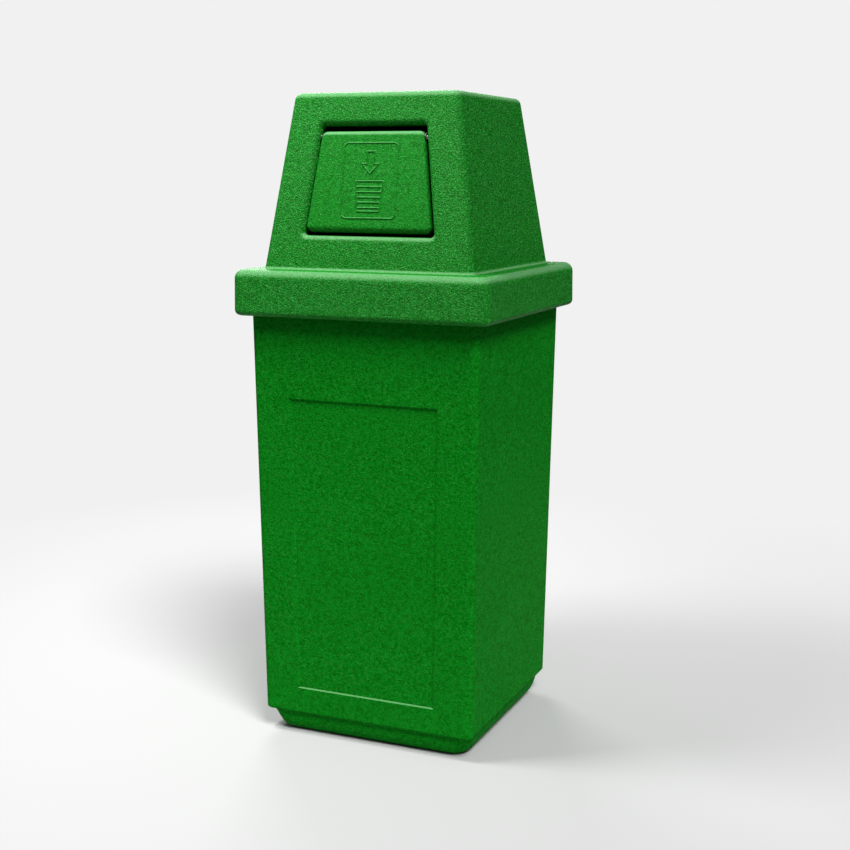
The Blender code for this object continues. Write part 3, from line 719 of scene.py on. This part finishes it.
def raised_lines(x, z):
    """Height of the moulded lines: a rounded frame, an arrow, and the basket that it points into."""
    lines = [
        rounded_box_distance(x, z, EMBLEM_HALF, EMBLEM_FOOT, EMBLEM_TOP, EMBLEM_CORNER),
        polyline_distance(x, z, ARROW + ARROW[:1]),
        polyline_distance(x, z, BASKET + BASKET[:1]),
    ]
    for level in BASKET_BARS:
        reach = BAR_HALF + BAR_SLOPE * (level - BASKET_BARS[-1])
        lines.append(polyline_distance(x, z, [(-reach, level), (reach, level)]))
    nearest = np.min(lines, axis=0)
    share = np.clip(1 - nearest / LINE_HALF, 0, 1)
    return LINE_HEIGHT * share * share * (3 - 2 * share)


def front_flap():
    """Push flap: softly rounded edges, and a patch of fine mesh that carries the raised lines."""
    angles = [90 * step / 8 for step in range(9)]
    rings = [flap_ring(angle, True) for angle in angles]
    rings += [flap_ring(angle, False) for angle in reversed(angles)]
    bm = bmesh.new()
    loops = [[bm.verts.new(point) for point in ring] for ring in rings]
    skin(bm, loops)
    bm.faces.new(loops[-1])

    columns = round(2 * PATCH_HALF / PATCH_STEP)
    rows = round((PATCH_TOP - PATCH_FOOT) / PATCH_STEP)
    columns_x = np.linspace(-PATCH_HALF, PATCH_HALF, columns + 1)
    x, z = np.meshgrid(columns_x, np.linspace(PATCH_FOOT, PATCH_TOP, rows + 1))
    y = -ROD_BEHIND_FACE - raised_lines(x, z)
    grid = [[bm.verts.new(spot) for spot in zip(*row)] for row in zip(x, y, z)]
    for lower, upper in zip(grid, grid[1:]):
        for c in range(columns):
            bm.faces.new((lower[c], lower[c + 1], upper[c + 1], upper[c]))
    right = [row[-1] for row in grid[1:-1]]
    left = [row[0] for row in grid[-2:0:-1]]
    border = grid[0] + right + grid[-1][::-1] + left
    edges = []
    for loop in (border, loops[0]):
        for i in range(len(loop)):
            pair = (loop[i - 1], loop[i])
            edges.append(bm.edges.get(pair) or bm.edges.new(pair))
    bmesh.ops.triangle_fill(bm, use_beauty=True, edges=edges)
    mesh = mesh_from("push_flap", bm)
    mesh.transform(face_place())
    flap = add_object("push_flap", mesh)
    even_normals(flap)
    return flap


# Hinge


def hinge_parts(stainless, nylon):
    """Rod across the mouth, a cap on each end and a flanged bush in each side of the flap."""
    rod = [
        (0, -ROD_END_X, 0),
        (ROD_RADIUS, -ROD_END_X, 0.001),
        (ROD_RADIUS, ROD_END_X, 0.001),
        (0, ROD_END_X, 0),
    ]
    stands_for(spun("hinge_rod", rod, across(face_place())), "flap_hinge_rod", stainless)
    cap = [
        (ROD_RADIUS + FIT, ROD_END_X + FIT, 0),
        (ROD_RADIUS + FIT, CAP_X[0], 0),
        (CAP_FLANGE_RADIUS, CAP_X[0], 0.0005),
        (CAP_FLANGE_RADIUS, CAP_X[1], 0.0005),
        (CAP_RADIUS, CAP_X[1], 0),
        (CAP_RADIUS, CAP_X[2], 0.0015),
        (0, CAP_X[2], 0),
    ]
    bush = [
        (ROD_RADIUS + GAP, BUSH_X[0], 0),
        (BUSH_RADIUS, BUSH_X[0], 0.0005),
        (BUSH_RADIUS, BUSH_X[1], 0),
        (BUSH_FLANGE_RADIUS, BUSH_X[1], 0.0003),
        (BUSH_FLANGE_RADIUS, BUSH_X[2], 0.0005),
        (ROD_RADIUS + GAP, BUSH_X[2], 0.0003),
    ]
    for side, turn in (("right", 0), ("left", math.pi)):
        place = across(face_place() @ Matrix.Rotation(turn, 4, "Z"))
        stands_for(spun(f"rod_end_cap_{side}", cap, place), f"rod_cap_{side}", nylon)
        stands_for(spun(f"flanged_bush_{side}", bush, place, closed=True), f"flap_bush_{side}", nylon)


# Lock


def hexagon_ring(apothem, z, steps):
    ring = []
    for i in range(steps):
        angle = math.tau * i / steps
        off_flat = (angle + math.radians(30)) % math.radians(60) - math.radians(30)
        radius = apothem / math.cos(off_flat)
        ring.append((radius * math.cos(angle), radius * math.sin(angle), z))
    return ring


def lock_parts(stainless, zinc, rubber):
    """Barrel, gasket and nut in the collar, and the key plug and cam that turn in them."""
    place = lock_place()
    barrel = [
        (PLUG_RADIUS + FIT, LOCK_END_Y, 0),
        (LOCK_RADIUS, LOCK_END_Y, 0.0005),
        (LOCK_RADIUS, LOCK_HEAD_Y, 0),
        (LOCK_HEAD_RADIUS, LOCK_HEAD_Y, 0.0003),
        (LOCK_HEAD_RADIUS, LOCK_FACE_Y, 0.0014),
        (PLUG_HEAD_RADIUS + FIT, LOCK_FACE_Y, 0.0003),
        (PLUG_HEAD_RADIUS + FIT, LOCK_SINK_Y, 0),
        (PLUG_RADIUS + FIT, LOCK_SINK_Y, 0),
    ]
    stands_for(spun("lock_housing", barrel, place, closed=True, steps=LOCK_STEPS), "lock_barrel", stainless)
    around = LOCK_RADIUS + FIT
    gasket = [
        (around, COLLAR_HALF - GASKET_SINK, 0),
        (LOCK_HEAD_RADIUS, COLLAR_HALF - GASKET_SINK, 0.0003),
        (LOCK_HEAD_RADIUS, LOCK_HEAD_Y - FIT, 0.0005),
        (around, LOCK_HEAD_Y - FIT, 0),
    ]
    stands_for(spun("lock_seal", gasket, place, closed=True, steps=LOCK_STEPS), "lock_gasket", rubber)
    nut_y = COLLAR_HALF - 1.2 * WALL
    nut = [
        round_ring(around, nut_y - NUT_THICKNESS, LOCK_STEPS),
        round_ring(NUT_APOTHEM, nut_y - NUT_THICKNESS, LOCK_STEPS),
        hexagon_ring(NUT_APOTHEM, nut_y - NUT_THICKNESS + NUT_CHAMFER, LOCK_STEPS),
        hexagon_ring(NUT_APOTHEM, nut_y - NUT_CHAMFER, LOCK_STEPS),
        round_ring(NUT_APOTHEM, nut_y, LOCK_STEPS),
        round_ring(around, nut_y, LOCK_STEPS),
    ]
    stands_for(loft("lock_hexagon_nut", nut, closed=True, place=place), "lock_nut", zinc)

    cam_y = LOCK_END_Y - GAP
    cam_end_y = cam_y - CAM_THICKNESS
    plug = [
        (0, cam_end_y + FIT, 0),
        (PLUG_TAIL_RADIUS, cam_end_y + FIT, 0),
        (PLUG_TAIL_RADIUS, cam_y + FIT, 0),
        (PLUG_RADIUS, cam_y + FIT, 0),
        (PLUG_RADIUS, LOCK_SINK_Y + FIT, 0),
        (PLUG_HEAD_RADIUS, LOCK_SINK_Y + FIT, 0),
        (PLUG_HEAD_RADIUS, LOCK_FACE_Y - FIT, 0.0005),
        (0, LOCK_FACE_Y - FIT, 0),
    ]
    key_plug = spun("lock_key_plug", plug, place, steps=LOCK_STEPS)
    cut_box(key_plug, KEY_SLOT, place @ Matrix.Translation((0, 0, LOCK_FACE_Y)))
    stands_for(key_plug, "lock_plug", stainless)

    half = CAM_HALF_WIDTH
    rings = []
    levels = (cam_end_y, cam_end_y + CAM_EDGE, cam_y - CAM_EDGE, cam_y)
    for inset, y in zip((CAM_EDGE, 0, 0, CAM_EDGE), levels):
        outline = round_corners([
            (inset - half, CAM_LENGTH - inset, half / 2),
            (inset - half, inset - half, 0.7 * half),
            (half - inset, inset - half, 0.7 * half),
            (half - inset, CAM_LENGTH - inset, half / 2),
        ], closed=True)
        rings.append([(point.x, point.y, y) for point in outline])
    cam = loft("lock_latch", rings, place=place)
    bore(cam, PLUG_TAIL_RADIUS + FIT, cam_end_y - GAP, cam_y + GAP, place)
    stands_for(cam, "lock_cam", zinc)


# Liner


def liner_half(z):
    share = (z - LINER_FLOOR_Z) / (LINER_TOP_Z - LINER_FLOOR_Z)
    return LINER_FOOT_HALF + (LINER_TOP_HALF - LINER_FOOT_HALF) * share


def liner_bin():
    """Tapered steel bin with a rolled rim."""
    inner_foot = LINER_FLOOR_Z + LINER_WALL
    path = round_corners([
        (LINER_FOOT_HALF - 0.008, LINER_FLOOR_Z, 0),
        (LINER_FOOT_HALF, LINER_FLOOR_Z, 0.005),
        (liner_half(LINER_BEAD_Z), LINER_BEAD_Z, 0.0006),
        (LINER_BEAD_HALF, LINER_BEAD_Z, 0.0038),
        (LINER_BEAD_HALF, LINER_TOP_Z, 0.0038),
        (LINER_TOP_HALF - LINER_WALL, LINER_TOP_Z, 0.0026),
        (liner_half(inner_foot) - LINER_WALL, inner_foot, 0.004),
        (LINER_FOOT_HALF - 0.008, inner_foot, 0),
    ])
    return loft("steel_liner", square_rings(path, lambda z: liner_half(z) - LINER_CORNER))


def wall_place(turn):
    """Frame on the liner's inner face at the handles: X points into the liner, Z up the wall."""
    inner = liner_half(HANDLE_Z) - LINER_WALL / math.cos(LINER_TILT)
    spot = Matrix.Rotation(turn, 4, "Z") @ Matrix.Translation((-inner, 0, HANDLE_Z))
    return spot @ Matrix.Rotation(-LINER_TILT, 4, "Y")


def wire_ring(point, along, radius=HANDLE_WIRE):
    """Ring around a (y, z) point of a wire that runs along the given direction."""
    aside = Vector((-along.y, along.x))
    spots = [(x, point + aside * reach) for x, reach, _ in round_ring(radius, 0, 20)]
    return [(x, spot.x, spot.y) for x, spot in spots]


def handle_bail(side, turn):
    """Round wire handle that hangs from its clips, with chamfered ends."""
    path = round_corners([
        (-HANDLE_END, 0, 0),
        (-HANDLE_HALF, 0, 0.004),
        (-HANDLE_HALF, -HANDLE_DROP, 0.012),
        (HANDLE_HALF, -HANDLE_DROP, 0.012),
        (HANDLE_HALF, 0, 0.004),
        (HANDLE_END, 0, 0),
    ])
    level = Vector((1, 0))
    chamfer = HANDLE_CHAMFER * level
    rings = [wire_ring(path[0], level, HANDLE_END_RADIUS), wire_ring(path[0] + chamfer, level)]
    for back, point, ahead in zip(path, path[1:], path[2:]):
        rings.append(wire_ring(point, (ahead - back).normalized()))
    rings += [wire_ring(path[-1] - chamfer, level), wire_ring(path[-1], level, HANDLE_END_RADIUS)]
    place = Matrix.Translation(wall_place(turn) @ Vector((HANDLE_OFF_WALL, 0, 0)))
    return loft(f"wire_handle_{side}", rings, place=place)


def handle_clip(name, turn, way):
    """Folded clip: a foot riveted to the wall, and an ear that the handle's end turns in."""
    foot = FIT + CLIP_THICKNESS
    ear = CLIP_EAR_Y + CLIP_THICKNESS
    outline = round_corners([
        (FIT, CLIP_EAR_Y, 0.0028),
        (FIT, CLIP_EAR_Y + CLIP_LENGTH, 0.0004),
        (foot, CLIP_EAR_Y + CLIP_LENGTH, 0.0004),
        (foot, ear, 0.0012),
        (CLIP_REACH, ear, 0.0008),
        (CLIP_REACH, CLIP_EAR_Y, 0.0008),
    ], closed=True, steps=5)
    heights = (-CLIP_HALF_HEIGHT, CLIP_HALF_HEIGHT)
    rings = [[(point.x, way * point.y, z) for point in outline] for z in heights]
    place = wall_place(turn)
    clip = loft(name, rings, place=place)
    pin = place @ Matrix.Translation((HANDLE_OFF_WALL, 0, 0)) @ Matrix.Rotation(math.radians(-90), 4, "X")
    hole = sorted((way * (CLIP_EAR_Y - CLIP_THICKNESS), way * 1.2 * CLIP_EAR_Y))
    bore(clip, HANDLE_WIRE + GAP, *hole, pin)
    return clip


def clip_rivet(name, place):
    """Rivet with a domed head on each side."""
    inner = CLIP_THICKNESS + 2 * FIT
    outer = -LINER_WALL - FIT
    rivet = [
        (0, outer - RIVET_HEAD, 0),
        (RIVET_HEAD_RADIUS, outer - RIVET_HEAD, RIVET_DOME),
        (RIVET_HEAD_RADIUS, outer, 0),
        (RIVET_RADIUS, outer, 0),
        (RIVET_RADIUS, inner, 0),
        (RIVET_HEAD_RADIUS, inner, 0),
        (RIVET_HEAD_RADIUS, inner + RIVET_HEAD, RIVET_DOME),
        (0, inner + RIVET_HEAD, 0),
    ]
    return spun(name, rivet, place, steps=24)


def liner_parts(galvanised, zinc):
    """Liner with a wire handle on two riveted clips inside its left and right walls."""
    stands_for(liner_bin(), "liner", galvanised)
    for side, turn, front in (("left", 0, -1), ("right", math.pi, 1)):
        stands_for(handle_bail(side, turn), f"liner_handle_{side}", zinc)
        for end, way in (("front", front), ("rear", -front)):
            clip = handle_clip(f"folded_clip_{side}_{end}", turn, way)
            stands_for(clip, f"handle_clip_{side}_{end}", zinc)
            for level, lift in (("lower", -0.5), ("upper", 0.5)):
                spot = Matrix.Translation((0, way * RIVET_Y, lift * RIVET_SPACING))
                place = across(wall_place(turn) @ spot)
                rivet = clip_rivet(f"domed_rivet_{side}_{end}_{level}", place)
                stands_for(rivet, f"clip_rivet_{side}_{end}_{level}", zinc)


# Materials


class Shader:
    """A Principled material and short ways to add nodes to it."""

    def __init__(self, name, colour, roughness, metallic=0.0):
        self.material = bpy.data.materials.new(name)
        self.material.use_nodes = True
        self.tree = self.material.node_tree
        self.out = self.tree.nodes["Principled BSDF"]
        self.out.inputs["Base Color"].default_value = (*colour, 1)
        self.out.inputs["Roughness"].default_value = roughness
        self.out.inputs["Metallic"].default_value = metallic
        self.where = self.tree.nodes.new("ShaderNodeTexCoord").outputs["Object"]

    def feed(self, socket, given):
        """Links an output into a socket, or sets the socket to a value or an RGB colour."""
        if isinstance(given, bpy.types.NodeSocket):
            self.tree.links.new(given, socket)
        elif socket.type == "RGBA":
            socket.default_value = (*given[:3], 1)
        else:
            socket.default_value = given

    def node(self, kind, **inputs):
        """Adds a node. Each input is a value, or an output to link from, named with _ for spaces."""
        made = self.tree.nodes.new(f"ShaderNode{kind}")
        for name, given in inputs.items():
            self.feed(made.inputs[name.replace("_", " ")], given)
        return made

    def noise(self, scale, detail=2.0, roughness=0.5, where=None):
        place = where or self.where
        made = self.node("TexNoise", Vector=place, Scale=scale, Detail=detail, Roughness=roughness)
        return made.outputs["Fac"]

    def drawn_out(self, scale):
        """Object coordinates scaled along each axis, for grain that runs longer one way."""
        return self.node("Mapping", Vector=self.where, Scale=scale).outputs["Vector"]

    def spread(self, value, low, high, to_low=0.0, to_high=1.0):
        """Maps a value's range to another, clamped."""
        made = self.node("MapRange")
        for socket, given in zip(made.inputs, (value, low, high, to_low, to_high)):
            self.feed(socket, given)
        return made.outputs["Result"]

    def mix(self, share, first, second):
        """Mixes two colours by a share."""
        made = self.tree.nodes.new("ShaderNodeMix")
        made.data_type = "RGBA"
        for socket, given in zip((made.inputs[0], made.inputs[6], made.inputs[7]), (share, first, second)):
            self.feed(socket, given)
        return made.outputs[2]

    def product(self, *factors):
        """Product of outputs."""
        result = factors[0]
        for factor in factors[1:]:
            made = self.tree.nodes.new("ShaderNodeMath")
            made.operation = "MULTIPLY"
            self.feed(made.inputs[0], result)
            self.feed(made.inputs[1], factor)
            result = made.outputs["Value"]
        return result

    def link(self, value, name):
        self.tree.links.new(value, self.out.inputs[name])

    def bump(self, height, distance):
        made = self.node("Bump", Height=height, Distance=distance, Strength=1.0)
        self.link(made.outputs["Normal"], "Normal")


def moulded_green(name, grain, speckle, gloss, highlight_above=0.0):
    """Rotationally moulded polyethylene, with a painted highlight: paler on its level edges that face upwards.

    grain is the height of the surface, speckle the share of light flecks, gloss runs from 0 (matt) to 1, and
    highlight_above is the height above which the painted highlight on the level edges is strong.
    """
    shader = Shader(name, GREEN, 0.5)
    along = shader.drawn_out(GRAIN_STRETCH)
    peel = shader.noise(400, detail=3.0, roughness=0.6, where=along)
    fleck = shader.noise(430, roughness=0.7, where=along)
    mottle = shader.noise(170, roughness=0.6, where=along)
    cloud = shader.noise(5)
    base = shader.mix(shader.spread(cloud, 0.3, 0.7), *GREEN_CLOUDS)
    base = shader.mix(shader.spread(mottle, 0.38, 0.66, 0.0, 0.45), base, GREEN_MOTTLES[1])
    base = shader.mix(shader.spread(mottle, 0.34, 0.50, 0.35, 0.0), base, GREEN_MOTTLES[0])
    base = shader.mix(shader.spread(fleck, 0.50, 0.76, 0.0, speckle), base, GREEN_FLECKS[1])
    base = shader.mix(shader.spread(fleck, 0.26, 0.48, 0.6 * speckle, 0.0), base, GREEN_FLECKS[0])

    # Painted highlight: pale green mixed into the colour where the surface faces partly upwards, as if lit from
    # above
    rise = shader.node("SeparateXYZ", Vector=shader.node("TexCoord").outputs["Normal"]).outputs["Z"]
    height = shader.node("SeparateXYZ", Vector=shader.where).outputs["Z"]
    onto_edge = shader.spread(rise, 0.25, 0.60)
    off_edge = shader.spread(rise, 0.93, 0.99, 1.0, 0.0)
    highlight_share = shader.spread(height, highlight_above, highlight_above + 0.001, 0.12, 0.55)
    base = shader.mix(shader.product(onto_edge, off_edge, highlight_share), base, GREEN_PAINTED_HIGHLIGHT)
    shader.link(base, "Base Color")

    rough = shader.spread(peel, 0.3, 0.7, 0.48 - 0.08 * gloss, 0.62 - 0.12 * gloss)
    shader.link(rough, "Roughness")
    shader.out.inputs["IOR"].default_value = 1.05 + 0.17 * gloss
    shader.out.inputs["Specular Tint"].default_value = GREEN_SHEEN
    shader.bump(peel, grain)
    return shader.material


def galvanised_steel():
    """Zinc coating with a patchwork of spangles."""
    shader = Shader("galvanised_steel", (0.48, 0.50, 0.51), 0.45, 1.0)
    cells = shader.node("TexVoronoi", Vector=shader.where, Scale=70.0)
    tone = shader.spread(cells.outputs["Color"], 0.0, 1.0)
    shader.link(shader.mix(tone, (0.40, 0.42, 0.44), (0.60, 0.62, 0.63)), "Base Color")
    shader.link(shader.spread(shader.noise(30, 4.0), 0.3, 0.7, 0.35, 0.55), "Roughness")
    shader.bump(shader.noise(120, 2.0), 0.0002)
    return shader.material


def zinc_plate():
    """Bright zinc plating, a little cloudy."""
    shader = Shader("zinc_plate", (0.52, 0.53, 0.55), 0.35, 1.0)
    cloud = shader.noise(220, 3.0)
    shader.link(shader.mix(cloud, (0.42, 0.43, 0.46), (0.66, 0.66, 0.66)), "Base Color")
    shader.link(shader.spread(cloud, 0.3, 0.7, 0.25, 0.45), "Roughness")
    shader.bump(shader.noise(900, 2.0), 0.00008)
    return shader.material


def brushed_steel():
    shader = Shader("stainless_steel", (0.60, 0.60, 0.58), 0.28, 1.0)
    shader.link(shader.spread(shader.noise(900, 2.0), 0.3, 0.7, 0.2, 0.4), "Roughness")
    shader.bump(shader.noise(1400, 1.0), 0.00005)
    return shader.material


def black_moulding(name, roughness):
    shader = Shader(name, (0.02, 0.02, 0.02), roughness)
    grain = shader.noise(700, 2.0)
    shader.link(shader.mix(grain, (0.014, 0.014, 0.014), (0.03, 0.03, 0.03)), "Base Color")
    shader.bump(grain, 0.0001)
    return shader.material


# Stage


def floor_disc():
    """Pale floor that fades into the backdrop's white all round."""
    bm = bmesh.new()
    bmesh.ops.create_circle(bm, cap_ends=True, segments=128, radius=FLOOR_RADIUS)
    floor = add_object("floor", mesh_from("floor", bm))
    paper = Shader("paper", FLOOR_TONE, 0.9)
    paper.out.inputs["Specular IOR Level"].default_value = 0
    glow = paper.node("Emission", Color=BACKDROP, Strength=1.0)
    reach = paper.tree.nodes.new("ShaderNodeVectorMath")
    reach.operation = "LENGTH"
    paper.feed(reach.inputs[0], paper.where)
    fade = paper.spread(reach.outputs["Value"], *FLOOR_FADE)
    surface = paper.node("MixShader")
    for socket, output in zip(surface.inputs, (fade, paper.out.outputs[0], glow.outputs[0])):
        paper.feed(socket, output)
    paper.feed(paper.tree.nodes["Material Output"].inputs["Surface"], surface.outputs[0])
    set_material(floor, paper.material)


def studio_world():
    """White backdrop for the camera, and for the light a ceiling that is brighter than the walls."""
    world = bpy.data.worlds.new("studio")
    bpy.context.scene.world = world
    world.use_nodes = True
    nodes = world.node_tree.nodes
    links = world.node_tree.links
    ceiling = nodes["Background"]
    where = nodes.new("ShaderNodeTexCoord")
    split = nodes.new("ShaderNodeSeparateXYZ")
    links.new(where.outputs["Generated"], split.inputs[0])
    rise = nodes.new("ShaderNodeMapRange")
    links.new(split.outputs["Z"], rise.inputs[0])
    for socket, value in zip(rise.inputs[1:5], WORLD_RISE + WORLD_STRENGTH):
        socket.default_value = value
    links.new(rise.outputs["Result"], ceiling.inputs["Strength"])
    ceiling.inputs["Color"].default_value = (1, 1, 1, 1)
    backdrop = nodes.new("ShaderNodeBackground")
    backdrop.inputs["Color"].default_value = BACKDROP
    rays = nodes.new("ShaderNodeLightPath")
    choice = nodes.new("ShaderNodeMixShader")
    links.new(rays.outputs["Is Camera Ray"], choice.inputs[0])
    links.new(ceiling.outputs[0], choice.inputs[1])
    links.new(backdrop.outputs[0], choice.inputs[2])
    links.new(choice.outputs[0], nodes["World Output"].inputs["Surface"])


def add_sun():
    data = bpy.data.lights.new("sun", "SUN")
    data.energy = SUN_STRENGTH
    data.angle = math.radians(SUN_DEGREES)
    sun = add_object("sun", data)
    sun.rotation_euler = Vector(SUN_FROM).to_track_quat("Z", "Y").to_euler()


def add_area_light(name, place, target, size, power):
    data = bpy.data.lights.new(name, "AREA")
    data.size = size
    data.energy = power
    light = add_object(name, data)
    light.location = place
    light.rotation_euler = (Vector(target) - Vector(place)).to_track_quat("-Z", "Y").to_euler()


def add_camera():
    data = bpy.data.cameras.new("camera")
    data.lens = CAMERA_LENS
    data.sensor_width = CAMERA_SENSOR
    camera = add_object("camera", data)
    turns = Matrix.Identity(4)
    for axis, degrees in CAMERA_TURNS:
        turns = turns @ Matrix.Rotation(math.radians(degrees), 4, axis)
    camera.location = CAMERA_PLACE
    camera.rotation_euler = turns.to_euler()
    bpy.context.scene.camera = camera


def stage():
    """Pale floor, soft lights and the camera."""
    floor_disc()
    studio_world()
    bpy.context.scene.view_settings.view_transform = "Standard"
    add_sun()
    for name, light in AREA_LIGHTS.items():
        add_area_light(name, *light)
    add_camera()


# Assembly


def main():
    tub_green = moulded_green("green_tub", grain=0.0016, speckle=0.35, gloss=0.0)
    hood_green = moulded_green("green_hood", grain=0.0028, speckle=0.85, gloss=1.0)
    # The flap's painted highlight is weaker below the hinge rod
    flap_green = moulded_green("green_flap", grain=0.0014, speckle=0.60, gloss=1.0, highlight_above=PIVOT.z)
    stands_for(body_shell(), "body_shell", tub_green)
    stands_for(hood_shell(), "hood_shell", hood_green)
    stands_for(front_flap(), "front_flap", flap_green)
    zinc = zinc_plate()
    stainless = brushed_steel()
    nylon = black_moulding("black_nylon", 0.45)
    hinge_parts(stainless, nylon)
    lock_parts(stainless, zinc, black_moulding("black_rubber", 0.8))
    liner_parts(galvanised_steel(), zinc)
    set_material(frame["nodes"]["lock_cam_screw"], zinc)
    stage()


main()
